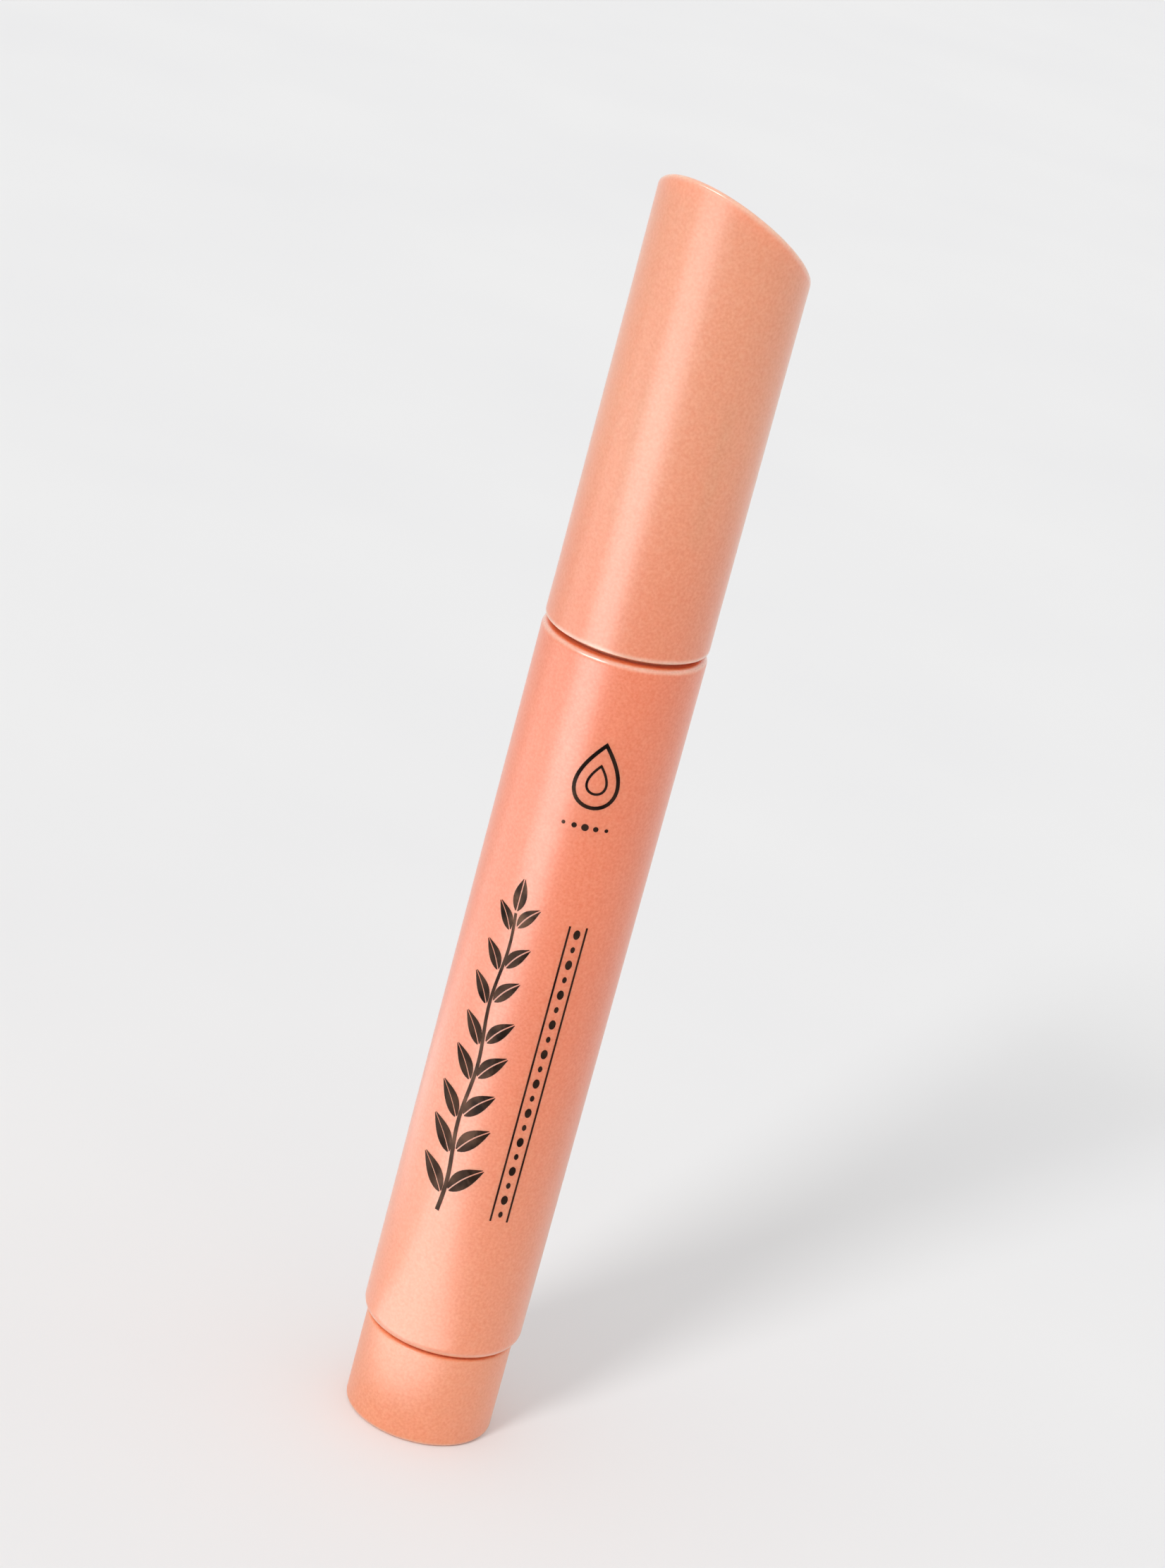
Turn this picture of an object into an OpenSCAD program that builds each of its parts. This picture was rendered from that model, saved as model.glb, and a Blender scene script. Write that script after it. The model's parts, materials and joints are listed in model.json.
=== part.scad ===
// Twist-up nail oil pen with a pull-off cap, a brush tip and a screw-fed piston.
// The pen stands upright on its turning knob, with the origin at the middle of the knob's foot.

/* [Barrel] */
// Outer diameter of the barrel
barrel_d = 15; // [14.6:0.1:17]
// Length of the barrel
barrel_len = 70; // [66:1:90]
// Wall around the oil reservoir
barrel_wall = 1.8; // [1.5:0.1:2]
// Rounding of the barrel's top shoulder
shoulder_round = 0.9; // [0.4:0.1:1.1]
// Rounding of the barrel's lower edge
lower_round = 1.2; // [0.4:0.1:1.3]

/* [Knob] */
// Step from the barrel's side in to the knob's side
knob_step = 0.55; // [0.2:0.05:0.8]
// Height of the knob that shows below the barrel
knob_h = 9.4; // [8:0.2:12]
// Rounding of the knob's foot
knob_round = 0.5; // [0.2:0.1:0.8]
// Wall of the knob
knob_wall = 1.2; // [1:0.1:1.4]
// Thickness of the knob's floor
knob_floor = 1.4; // [1:0.1:2]
// Length of the sleeve's stem that turns inside the barrel
stem_len = 6.5; // [6:0.1:8]

/* [Cap] */
// Step from the barrel's side in to the cap's mouth
cap_step = 0.06; // [0:0.01:0.2]
// Taper of the cap's side between its mouth and its top
cap_taper = 0.07; // [0.03:0.01:0.15]
// Height of the slanted top above the mouth, on the axis
cap_h = 37.1; // [36:0.1:50]
// Tilt of the slanted top in degrees
cap_tilt = 34; // [20:0.2:36]
// Direction in which the slanted top falls, in degrees from +X
cap_fall = 57; // [0:1:359]
// Rounding of the slanted rim
cap_round = 0.3; // [0.2:0.05:0.9]
// Wall of the cap
cap_wall = 0.85; // [0.7:0.05:0.95]
// Groove that shows between the barrel and the cap
cap_gap = 0.45; // [0.3:0.05:0.8]
// Ribs inside the cap that hold its inner cap
cap_ribs = 6; // [4:1:8]

/* [Feed screw] */
// Turns of the knob that empty the pen
feed_turns = 8; // [7:1:9]
// Wall of the drive sleeve round the rod's thread
sleeve_wall = 0.8; // [0.7:0.05:0.9]
// Core of the rod as a share of the diameter over its thread
core_share = 0.76; // [0.72:0.01:0.8]
// Width across the rod's two flats as a share of the diameter over its thread
flats_share = 0.54; // [0.48:0.01:0.58]
// Clicks in one turn of the knob
clicks = 24; // [18:6:30]
// Length of the piston
piston_len = 7; // [6:0.5:9]

/* [Brush] */
// Height of the neck above the barrel
neck_h = 8.45; // [8:0.05:9.5]
// Height of the brush holder's cone
cone_h = 7; // [5:0.5:8]
// Free length of the bristles
bristle_len = 7.9; // [5:0.1:9]
// Widest diameter of the bristles
bristle_d = 3.7; // [3.2:0.1:4.4]

/* [Hidden] */
$fn = 96;

coral = [0.95, 0.61, 0.49];
natural_white = [0.93, 0.93, 0.9];
dark_rubber = [0.2, 0.2, 0.22];
clear_grey = [0.8, 0.83, 0.84];

// One overrun for every cut
cut = 0.1;
// Points along each rounded edge
round_steps = 8;

// Fits: parts that turn or slide, and parts that are seated for good
turn_fit = 0.08;
slide_fit = 0.02;
seat_fit = 0.03;
// Axial gaps that keep moving pieces apart
turn_gap = 0.15;
rod_gap = 0.6;
end_gap = 0.3;
piston_gap = 0.4;
stroke_margin = 0.6;

// Stack of lengths inside the barrel
rod_grip = 4;
nut_len = 6.5;
plug_len = 7.55;
z_floor = knob_floor;
z_barrel0 = knob_h + turn_gap;
z_barrel1 = z_barrel0 + barrel_len;
z_rod0 = z_floor + rod_gap;
stack_len = z_rod0 + rod_grip + end_gap + nut_len + piston_gap + piston_len + stroke_margin
    + plug_len;
stroke = (z_barrel1 - stack_len) / 2;
lead = stroke / feed_turns;
z_sleeve1 = z_rod0 + stroke + rod_grip;
z_ceiling = z_sleeve1 + end_gap;
z_guide1 = z_ceiling + nut_len;
z_piston0 = z_guide1 + piston_gap;
z_piston1 = z_piston0 + piston_len;
z_plug0 = z_piston1 + stroke + stroke_margin;

// Barrel bores
barrel_r = barrel_d / 2;
bore_r = barrel_r - barrel_wall;
guide_step = 0.5;
mech_r = bore_r + guide_step;
lip_depth = 0.25;
lip_r = mech_r - lip_depth;
lip_h = 2.25;
z_lip = z_barrel0 + lip_h;

// Knob, and the stem of the drive sleeve with its snap bead and ring groove
knob_r = barrel_r - knob_step;
knob_in_r = knob_r - knob_wall;
stem_r = lip_r - turn_fit;
stem_bead_r = mech_r - turn_fit;
stem_bead_h = 0.85;
z_stem1 = knob_h + stem_len;
knob_top_round = 0.3;
foot_ring_w = 1.35;
foot_dish_h = 0.3;
foot_dish_r = knob_r - knob_round - foot_ring_w - foot_dish_h;
knob_rib_w = 0.8;
knob_rib_h = 0.5;
knob_rib_len = 5;
knob_rib_count = 4;
ring_d = 1;
ring_groove_w = 1.1;
z_knob_ring = z_lip + turn_gap + stem_bead_h + ring_groove_w;
knob_ring_r = mech_r - ring_d / 2 - turn_fit / 2;

// Ratchet: the spring pawls of the click ring ride in the guide's toothed skirt
ring_len = 2.7;
z_ring0 = z_sleeve1 - end_gap - ring_len;
skirt_wall = 0.7;
tooth_h = 0.35;
guide_r = mech_r - seat_fit;
valley_r = guide_r - skirt_wall;
crest_r = valley_r - tooth_h;
pawl_count = 3;
pawl_fit = 0.07;
arm_w = 0.4;
arm_gap = 0.15;
arm_r = crest_r - arm_gap;
spring_room = 0.27;
hub_wall = 1;
hub_r = arm_r - arm_w - spring_room;
arm_span = 75;
web_span = 16;
click_angle = 360 / clicks;
skirt_lead_in = 1;
seat_collar_h = 1;
tooth_crest_share = 0.94;
pawl_face_share = 0.05;
pawl_ramp_share = 0.5;
pawl_rise_share = 0.55;
z_guide0 = z_ring0 - end_gap - seat_collar_h - end_gap;
guide_bead_h = 0.12;
guide_bead_w = 1.2;
z_guide_bead = z_ceiling;
tab_w = 1.6;
tab_h = 0.45;
tab_len = 2;
tab_count = 2;
core_out_depth = 4.5;
boss_wall = 1.4;
rim_wall = 0.75;

// Drive sleeve
sleeve_r = hub_r - hub_wall;
seat_wall = 1.22;
skirt_in_r = knob_in_r - seat_fit - seat_wall;
web_h = 1.9;
key_w = 1;
key_h = 0.5;
key_count = 2;
rod_fit = 0.05;

// Thread of the rod and of the guide
rod_r = sleeve_r - sleeve_wall;
core_r = rod_r * core_share;
flats_w = 2 * rod_r * flats_share;
thread_root_w = 1.4;
thread_crest_w = 0.6;
thread_fit = 0.12;
bury_share = 0.18;
thread_bury = core_r * bury_share;
tooth_edge = 0.03;
tooth_steps = 4;
groove_steps = 16;
thread_end = 0.8;
nut_chamfer = 0.4;
rod_chamfer = 0.3;

// Rod head and the socket in the piston
neck_r = flats_w / 2;
head_lip = 0.5;
head_r = neck_r + head_lip;
head_len = 2.2;
head_chamfer = 0.4;
rod_shoulder = 0.5;
socket_lip_h = 1.1;
socket_fit = 0.1;
z_rod_shoulder = z_piston0 - rod_shoulder;
z_head0 = z_piston0 + socket_lip_h + turn_gap;
z_head1 = z_head0 + head_len;

// Piston
piston_r = bore_r - slide_fit;
piston_waist = 0.35;
piston_lip_h = 1.5;
piston_lip_taper = 0.4;
piston_dish = 0.8;

// Radii of the cap and of its inner cap
cap_r = barrel_r - cap_step;
cap_top_r = cap_r - cap_taper;
cap_in_r = cap_r - cap_wall;
liner_wall = 0.66;
liner_r = cap_in_r - seat_fit;
liner_in_r = liner_r - liner_wall;

// Neck
plug_r = bore_r - seat_fit;
flange_fit = 0.22;
collar_fit = 0.3;
bead_fit = 0.05;
neck_flange_r = cap_in_r - flange_fit;
neck_flange_h = 0.8;
neck_collar_r = liner_in_r - collar_fit;
neck_bead_h = collar_fit - bead_fit;
neck_bead_w = 1;
neck_bead_rise = 4.95;
neck_wall = 1.06;
neck_chamfer = 0.3;
plug_ring_rise = 3.6;
z_plug_ring = z_plug0 + plug_ring_rise;
plug_ring_r = bore_r - ring_d / 2 - slide_fit;
plug_groove_r = plug_ring_r - ring_d / 2 - slide_fit;
neck_bore_r = plug_groove_r - neck_wall;
z_neck1 = z_barrel1 + neck_h;
z_flange1 = z_barrel1 + neck_flange_h;

// Brush holder
holder_stem_r = neck_bore_r - seat_fit;
holder_wall = 1.17;
holder_bore_r = holder_stem_r - holder_wall;
holder_throat = 1;
holder_drop = 0.5;
holder_flange_step = 0.4;
holder_flange_r = neck_collar_r - holder_flange_step;
holder_flange_h = 1;
tip_wall = 0.62;
tip_tube_h = 3;
tip_round = 0.4;
channel_r = 0.9;
tube_r = 0.6;
tube_bore_r = 0.35;
tube_seat_len = 3.2;
tube_rise = 2.5;
z_holder1 = z_neck1 + holder_flange_h;
z_cone1 = z_holder1 + cone_h;
z_tip1 = z_cone1 + tip_tube_h;
ferrule_r = 1.85;
cone_top_r = ferrule_r + seat_fit + tip_wall;
ferrule_wall = 0.25;
ferrule_floor = 0.5;
ferrule_len = 5.4;
ferrule_sink = 0.4;
z_ferrule1 = z_tip1 - ferrule_sink;
z_ferrule0 = z_ferrule1 - ferrule_len;
z_socket0 = z_ferrule0 - seat_fit;
bristle_root_r = ferrule_r - ferrule_wall - rod_fit;
bristle_tip_r = 0.3;
belly_share = 0.22;
bristle_steps = 10;
z_bristle0 = z_ferrule0 + ferrule_floor + rod_fit;
z_bristle1 = z_ferrule1 + bristle_len;

// Cap
z_cap0 = z_barrel1 + cap_gap;
z_slant = z_cap0 + cap_h;
mouth_round = 0.5;
mouth_round_in = 0.2;
flare_h = 2.6;
flare_blend = 0.8;
flare = 0.03;
slant_wall = 1.1;
slant_inset = 0.02;
slant_sink = 0.5;
slant_steps = 72;
rim_steps = 6;
rib_w = 0.8;
rib_len = 13;
liner_gap = 0.35;
seal_h = 0.9;
seal_squeeze = 0.1;
seal_wall = 1.75;
tube_room = 0.38;
liner_tube_wall = 0.65;
liner_tube_taper = 0.35;
liner_tube_r = holder_stem_r + tube_room + liner_tube_wall;
liner_tube_top_r = liner_tube_r - liner_tube_taper;
liner_roof = 0.9;
liner_top = 1;
liner_chamfer = 0.3;
snap_groove_h = 0.15;
snap_groove_w = 1.4;
cap_headroom = 0.4;
z_liner0 = z_flange1 + liner_gap;
z_seal0 = z_holder1 + seal_squeeze;
z_liner_ceiling = z_seal0 + seal_h;
z_liner_roof = z_liner_ceiling + liner_roof;
slant_drop = slant_wall / cos(cap_tilt);
z_liner1 = z_slant - slant_drop - tan(cap_tilt) * liner_tube_top_r - cap_headroom;
slant_normal = [sin(cap_tilt) * cos(cap_fall), sin(cap_tilt) * sin(cap_fall), cos(cap_tilt)];
z_slant_join = z_slant - tan(cap_tilt) * cap_top_r - 2 * cap_round;

echo(stroke = stroke, lead = lead, ratio_per_radian = lead / (2 * PI));
echo(tallest = z_slant + tan(cap_tilt) * cap_top_r);

// Points of an arc round the centre c, from angle a0 to angle a1
function arc(c, r, a0, a1) =
    [for (i = [0:round_steps]) let (a = a0 + (a1 - a0) * i / round_steps)
        c + r * [cos(a), sin(a)]];

// Point at radius r, angle a and height z
function polar(r, a, z) = [r * cos(a), r * sin(a), z];

// Outward triangles of a sweep whose rings have k points each
function sweep_sides(rings, k) =
    [for (i = [0:rings - 2]) for (j = [0:k - 1])
        let (a = k * i + j, b = k * i + (j + 1) % k)
        each [[a, b, a + k], [b, b + k, a + k]]];

// End caps of a sweep of four-cornered rings
function sweep_ends(rings) =
    let (e = 4 * (rings - 1))
    [[0, 2, 1], [0, 3, 2], [e, e + 2, e + 3], [e, e + 1, e + 2]];

// Ring of copies round the axis
module around(count) {
    for (i = [0:count - 1])
        rotate([0, 0, 360 * i / count])
            children();
}

// Lathe part from an outline of radius and height
module lathe(outline) {
    rotate_extrude()
        polygon(outline);
}

// Torus with a round section
module round_ring(r, z, d) {
    translate([0, 0, z])
        rotate_extrude()
            translate([r, 0])
                circle(d = d);
}

// Wedge-shaped outline from the axis outwards, between two angles
module sector(a0, a1, r) {
    mid = (a0 + a1) / 2;
    polygon([[0, 0], r * [cos(a0), sin(a0)], r * [cos(mid), sin(mid)], r * [cos(a1), sin(a1)]]);
}

module barrel() {
    outline = concat(
        [[lip_r, z_barrel0]],
        arc([barrel_r - lower_round, z_barrel0 + lower_round], lower_round, -90, 0),
        arc([barrel_r - shoulder_round, z_barrel1 - shoulder_round], shoulder_round, 0, 90),
        [[bore_r, z_barrel1],
        [bore_r, z_guide1],
        [mech_r, z_guide1],
        [mech_r, z_guide_bead + guide_bead_w / 2 + seat_fit],
        [mech_r + guide_bead_h, z_guide_bead + seat_fit],
        [mech_r + guide_bead_h, z_guide_bead - seat_fit],
        [mech_r, z_guide_bead - guide_bead_w / 2 - seat_fit],
        [mech_r, z_lip],
        [lip_r, z_lip]]);
    color(coral)
        difference() {
            lathe(outline);
            around(tab_count)
                translate([0, -tab_w / 2 - seat_fit, z_lip])
                    cube([mech_r + tab_h + seat_fit, tab_w + 2 * seat_fit, z_guide1 - z_lip]);
        }
}

module neck() {
    z_bead = z_barrel1 + neck_bead_rise;
    outline = [
        [neck_bore_r, z_plug0],
        [plug_r - neck_chamfer, z_plug0],
        [plug_r, z_plug0 + neck_chamfer],
        [plug_r, z_plug_ring - ring_groove_w / 2],
        [plug_groove_r, z_plug_ring - ring_groove_w / 2],
        [plug_groove_r, z_plug_ring + ring_groove_w / 2],
        [plug_r, z_plug_ring + ring_groove_w / 2],
        [plug_r, z_barrel1],
        [neck_flange_r, z_barrel1],
        [neck_flange_r, z_flange1 - neck_chamfer],
        [neck_flange_r - neck_chamfer, z_flange1],
        [neck_collar_r, z_flange1],
        [neck_collar_r, z_bead - neck_bead_w],
        [neck_collar_r + neck_bead_h, z_bead - neck_bead_w / 4],
        [neck_collar_r + neck_bead_h, z_bead + neck_bead_w / 4],
        [neck_collar_r, z_bead + neck_bead_w],
        [neck_collar_r, z_neck1 - neck_chamfer],
        [neck_collar_r - neck_chamfer, z_neck1],
        [neck_bore_r, z_neck1]];
    color(coral)
        lathe(outline);
}

module neck_oring() {
    color(dark_rubber)
        round_ring(plug_ring_r, z_plug_ring, ring_d);
}

module brush_holder() {
    tube_seat_r = tube_r + seat_fit;
    outline = concat([
        [channel_r, z_neck1 - holder_throat],
        [holder_bore_r, z_neck1 - holder_throat - holder_bore_r + channel_r],
        [holder_bore_r, z_plug0 + holder_drop],
        [holder_stem_r - neck_chamfer, z_plug0 + holder_drop],
        [holder_stem_r, z_plug0 + holder_drop + neck_chamfer],
        [holder_stem_r, z_neck1],
        [holder_flange_r, z_neck1],
        [holder_flange_r, z_holder1],
        [holder_stem_r, z_holder1],
        [cone_top_r, z_cone1]],
        arc([cone_top_r - tip_round, z_tip1 - tip_round], tip_round, 0, 90),
        [[ferrule_r + seat_fit, z_tip1],
        [ferrule_r + seat_fit, z_socket0],
        [tube_seat_r, z_socket0],
        [tube_seat_r, z_socket0 - tube_seat_len],
        [channel_r, z_socket0 - tube_seat_len - channel_r + tube_seat_r]]);
    color(natural_white)
        lathe(outline);
}

module brush_ferrule() {
    tube_hole_r = tube_r + seat_fit;
    outline = [
        [tube_hole_r, z_ferrule0],
        [ferrule_r, z_ferrule0],
        [ferrule_r, z_ferrule1],
        [ferrule_r - ferrule_wall, z_ferrule1],
        [ferrule_r - ferrule_wall, z_ferrule0 + ferrule_floor],
        [tube_hole_r, z_ferrule0 + ferrule_floor]];
    color(clear_grey)
        lathe(outline);
}

module bristles() {
    belly_r = bristle_d / 2;
    tube_hole_r = tube_r + rod_fit;
    z_tube1 = z_ferrule1 + tube_rise + rod_fit;
    belly = [for (i = [0:bristle_steps])
        let (s = i / bristle_steps)
        [bristle_root_r + (belly_r - bristle_root_r) * sin(90 * s),
            z_ferrule1 + bristle_len * belly_share * s]];
    point = [for (i = [1:bristle_steps])
        let (s = i / bristle_steps)
        [bristle_tip_r + (belly_r - bristle_tip_r) * cos(90 * s),
            z_ferrule1 + bristle_len * (belly_share + (1 - belly_share) * s)]];
    outline = concat(
        [[tube_hole_r, z_bristle0], [bristle_root_r, z_bristle0]],
        belly, point,
        [[0, z_bristle1], [0, z_tube1], [tube_hole_r, z_tube1]]);
    color([0.97, 0.95, 0.9])
        lathe(outline);
}

module feed_tube() {
    z_tube0 = z_socket0 - tube_seat_len;
    z_tube1 = z_ferrule1 + tube_rise;
    color(clear_grey)
        translate([0, 0, z_tube0])
            difference() {
                cylinder(r = tube_r, h = z_tube1 - z_tube0);
                translate([0, 0, -cut])
                    cylinder(r = tube_bore_r, h = z_tube1 - z_tube0 + 2 * cut);
            }
}

// Helical groove of the guide, wider than the rod's thread all round
module thread_groove() {
    inner_r = core_r + rod_fit - thread_bury;
    outer_r = (rod_r + thread_fit / 2) / cos(180 / groove_steps);
    root = thread_root_w / 2 + thread_fit;
    crest = thread_crest_w / 2 + thread_fit;
    first = floor((z_ceiling - z_rod0 - thread_end) / lead) - 1;
    turns = ceil(nut_len / lead) + 2;
    rings = turns * groove_steps + 1;
    z_first = z_rod0 + thread_end + first * lead;
    points = [for (i = [0:rings - 1])
        let (a = 360 * i / groove_steps, z = z_first + lead * i / groove_steps)
        each [polar(inner_r, a, z - root), polar(outer_r, a, z - crest),
            polar(outer_r, a, z + crest), polar(inner_r, a, z + root)]];
    polyhedron(points, concat(sweep_sides(rings, 4), sweep_ends(rings)));
}

// Outline of the saw teeth inside the guide's skirt
module ratchet_outline() {
    polygon([for (i = [0:clicks - 1]) let (a = i * click_angle)
        each [valley_r * [cos(a), sin(a)],
            let (b = a + click_angle * tooth_crest_share)
            crest_r * [cos(b), sin(b)]]]);
}

module threaded_guide() {
    boss_r = rod_r + boss_wall;
    nut_r = core_r + rod_fit;
    mouth_r = rod_r + turn_fit + nut_chamfer;
    outline = [
        [nut_r, z_ceiling + mouth_r - nut_r],
        [mouth_r, z_ceiling],
        [valley_r + cut, z_ceiling],
        [valley_r + cut, z_guide0],
        [guide_r, z_guide0],
        [guide_r, z_guide_bead - guide_bead_w / 2],
        [guide_r + guide_bead_h, z_guide_bead],
        [guide_r, z_guide_bead + guide_bead_w / 2],
        [guide_r, z_guide1],
        [guide_r - rim_wall, z_guide1],
        [guide_r - rim_wall, z_guide1 - core_out_depth],
        [boss_r, z_guide1 - core_out_depth],
        [boss_r, z_guide1],
        [mouth_r, z_guide1],
        [nut_r, z_guide1 - mouth_r + nut_r]];
    color(natural_white)
        difference() {
            union() {
                lathe(outline);
                difference() {
                    translate([0, 0, z_guide0 + skirt_lead_in])
                        cylinder(r = guide_r - rim_wall / 2, h = z_ceiling - z_guide0 - skirt_lead_in);
                    translate([0, 0, z_guide0])
                        linear_extrude(z_ceiling - z_guide0 + cut)
                            ratchet_outline();
                }
                around(tab_count)
                    translate([guide_r - rim_wall / 2, -tab_w / 2, z_guide1 - tab_len])
                        cube([rim_wall / 2 + tab_h, tab_w, tab_len]);
            }
            thread_groove();
        }
}

// Slanted top of the cap, from its foot inside the cap's wall up to the rounded rim and the face
module slanted_top() {
    r = cap_top_r - slant_inset;
    k = cap_round;
    z_foot = z_slant_join - slant_sink;
    centre = function (a)
        let (x = (r - k) * cos(a), y = (r - k) * sin(a))
        [x, y, z_slant - (slant_normal.x * x + slant_normal.y * y + k) / slant_normal.z];
    toward = function (a, s)
        let (out = [cos(a), sin(a), 0], turn = acos(out * slant_normal))
        (sin((1 - s) * turn) * out + sin(s * turn) * slant_normal) / sin(turn);
    points = concat(
        [for (j = [0:slant_steps - 1]) polar(r, 360 * j / slant_steps, z_foot)],
        [for (i = [0:rim_steps]) for (j = [0:slant_steps - 1])
            let (a = 360 * j / slant_steps)
            centre(a) + k * toward(a, i / rim_steps)],
        [[0, 0, z_foot], [0, 0, z_slant]]);
    last = (rim_steps + 1) * slant_steps;
    foot = last + slant_steps;
    faces = concat(
        [for (f = sweep_sides(rim_steps + 2, slant_steps)) [f[0], f[2], f[1]]],
        [for (j = [0:slant_steps - 1]) let (n = (j + 1) % slant_steps)
            each [[foot, j, n], [foot + 1, last + n, last + j]]]);
    polyhedron(points, faces);
}

// Space above the slanted face, sunk by a wall thickness measured along the axis
module above_slant(sink) {
    translate([0, 0, z_slant - sink])
        rotate([0, cap_tilt, cap_fall])
            translate([-2 * cap_r, -2 * cap_r, 0])
                cube([4 * cap_r, 4 * cap_r, 2 * cap_r]);
}

module cap_shell() {
    outline = concat(
        [[0, z_cap0]],
        arc([cap_r - mouth_round, z_cap0 + mouth_round], mouth_round, -90, 0),
        [[cap_r - flare / 2, z_cap0 + flare_h],
        [cap_r - flare, z_cap0 + flare_h + flare_blend],
        [cap_top_r, z_slant_join],
        [0, z_slant_join]]);
    color(coral) {
        difference() {
            union() {
                lathe(outline);
                slanted_top();
            }
            difference() {
                translate([0, 0, z_cap0 - cut])
                    cylinder(r = cap_in_r, h = cap_h + cap_r);
                above_slant(slant_drop);
            }
            translate([0, 0, z_cap0 - cut])
                cylinder(r1 = cap_in_r + mouth_round_in + cut, r2 = cap_in_r,
                    h = mouth_round_in + cut);
        }
        around(cap_ribs)
            translate([liner_tube_r + seat_fit, -rib_w / 2, z_liner_roof])
                cube([cap_in_r + cap_wall / 2 - liner_tube_r - seat_fit, rib_w, rib_len]);
    }
}

module cap_liner() {
    z_snap = z_barrel1 + neck_bead_rise;
    tube_in_r = liner_tube_r - liner_tube_wall;
    tube_top_in_r = liner_tube_top_r - liner_tube_wall;
    outline = [
        [liner_in_r + liner_chamfer, z_liner0],
        [liner_r, z_liner0],
        [liner_r, z_liner_roof],
        [liner_tube_r, z_liner_roof],
        [liner_tube_top_r, z_liner1 - liner_chamfer],
        [liner_tube_top_r - liner_chamfer, z_liner1],
        [0, z_liner1],
        [0, z_liner1 - liner_top],
        [tube_top_in_r, z_liner1 - liner_top],
        [tube_in_r, z_liner_ceiling],
        [liner_in_r, z_liner_ceiling],
        [liner_in_r, z_snap + snap_groove_w],
        [liner_in_r + snap_groove_h, z_snap + snap_groove_w / 2],
        [liner_in_r + snap_groove_h, z_snap - snap_groove_w / 2],
        [liner_in_r, z_snap - snap_groove_w],
        [liner_in_r, z_liner0 + liner_chamfer]];
    color(natural_white)
        lathe(outline);
}

module cap_seal() {
    outer_r = liner_in_r - seat_fit;
    color(dark_rubber)
        translate([0, 0, z_seal0])
            difference() {
                cylinder(r = outer_r, h = seal_h);
                translate([0, 0, -cut])
                    cylinder(r = outer_r - seal_wall, h = seal_h + 2 * cut);
            }
}

module knob() {
    outline = concat(
        [[0, foot_dish_h], [foot_dish_r, foot_dish_h], [foot_dish_r + foot_dish_h, 0]],
        arc([knob_r - knob_round, knob_round], knob_round, -90, 0),
        arc([knob_r - knob_top_round, knob_h - knob_top_round], knob_top_round, 0, 90),
        [[knob_in_r, knob_h],
        [knob_in_r, z_floor],
        [0, z_floor]]);
    color(coral) {
        lathe(outline);
        around(knob_rib_count)
            translate([knob_in_r - knob_rib_h, -knob_rib_w / 2, z_floor])
                cube([knob_rib_h + cut, knob_rib_w, knob_rib_len]);
    }
}

module knob_oring() {
    color(dark_rubber)
        round_ring(knob_ring_r, z_knob_ring, ring_d);
}

// Round hole with two flats that drives the rod
module keyed_hole(fit, h) {
    intersection() {
        cylinder(r = rod_r + fit, h = h);
        translate([-2 * rod_r, -flats_w / 2 - fit, 0])
            cube([4 * rod_r, flats_w + 2 * fit, h]);
    }
}

module drive_sleeve() {
    groove_r = knob_ring_r - ring_d / 2 - slide_fit;
    skirt_r = knob_in_r - seat_fit;
    z_bead0 = z_lip + turn_gap;
    z_web0 = z_stem1 - web_h;
    outline = [
        [0, z_floor],
        [sleeve_r, z_floor],
        [sleeve_r, z_web0],
        [skirt_in_r, z_web0],
        [skirt_in_r, z_floor],
        [skirt_r, z_floor],
        [skirt_r, knob_h],
        [stem_r, knob_h],
        [stem_r, z_bead0],
        [stem_bead_r, z_bead0],
        [stem_r, z_bead0 + stem_bead_h],
        [stem_r, z_knob_ring - ring_groove_w / 2],
        [groove_r, z_knob_ring - ring_groove_w / 2],
        [groove_r, z_knob_ring + ring_groove_w / 2],
        [stem_r, z_knob_ring + ring_groove_w / 2],
        [stem_r, z_stem1],
        [sleeve_r, z_stem1],
        [sleeve_r, z_ring0 - seat_collar_h],
        [hub_r, z_ring0 - seat_collar_h],
        [hub_r, z_ring0],
        [sleeve_r, z_ring0],
        [sleeve_r, z_sleeve1],
        [0, z_sleeve1]];
    color(natural_white)
        difference() {
            union() {
                lathe(outline);
                around(key_count)
                    translate([0, -key_w / 2, z_ring0])
                        cube([sleeve_r + key_h, key_w, z_sleeve1 - z_ring0 - end_gap]);
            }
            around(knob_rib_count)
                translate([skirt_r - knob_rib_h, -knob_rib_w / 2 - seat_fit, z_floor - cut])
                    cube([knob_rib_h + cut, knob_rib_w + 2 * seat_fit, knob_rib_len + seat_fit + cut]);
            translate([0, 0, z_floor - cut])
                keyed_hole(rod_fit, z_sleeve1 - z_floor + 2 * cut);
        }
}

// One spring arm: its web on the hub, its curved leaf and the pawl at its free end
module spring_arm() {
    start = click_angle * pawl_face_share;
    ramp = click_angle * pawl_ramp_share;
    tip_r = valley_r - pawl_fit;
    ramp_r = valley_r - tooth_h * pawl_rise_share - pawl_fit;
    inner_r = arm_r - arm_w;
    intersection() {
        difference() {
            circle(r = arm_r);
            circle(r = inner_r);
        }
        sector(start, start + arm_span, 2 * arm_r);
    }
    intersection() {
        difference() {
            circle(r = arm_r);
            circle(r = hub_r - key_h / 2);
        }
        sector(start + arm_span - web_span, start + arm_span, 2 * arm_r);
    }
    polygon([(arm_r - arm_w / 2) * [cos(start), sin(start)],
        tip_r * [cos(start), sin(start)],
        ramp_r * [cos(start + ramp), sin(start + ramp)],
        (arm_r - arm_w / 2) * [cos(click_angle), sin(click_angle)]]);
}

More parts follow.
